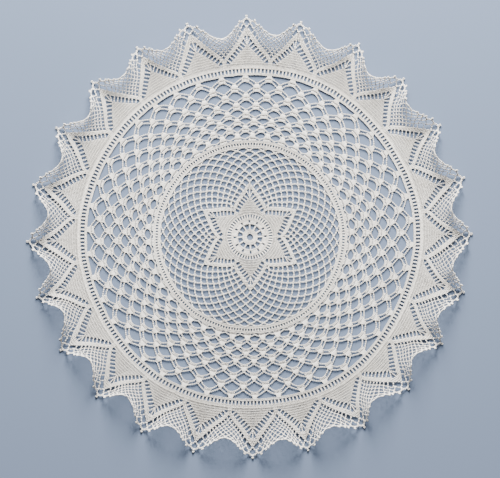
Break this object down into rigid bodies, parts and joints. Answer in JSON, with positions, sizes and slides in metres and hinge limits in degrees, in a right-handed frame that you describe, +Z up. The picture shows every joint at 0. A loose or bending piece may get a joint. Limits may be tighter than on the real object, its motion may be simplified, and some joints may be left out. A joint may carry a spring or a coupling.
{
  "type": "round crochet doily",
  "caption": "Round openwork table doily in off-white cotton crochet: a star centre, a fine chain net, a fan net and a ruffled border of points.",
  "frame": {"origin": "middle of the underside, on the surface that the doily lies on", "axes": "+Z up, square to the cloth; +Y towards the side shown at the top of the picture; +X towards its right side"},
  "size_m": [0.3826, 0.38, 0.0224],
  "materials": {
    "cotton_thread": "matte off-white twisted cotton thread, crocheted"
  },
  "bodies": {
    "root": {"doily": "cotton_thread"}
  },
  "joints": []
}
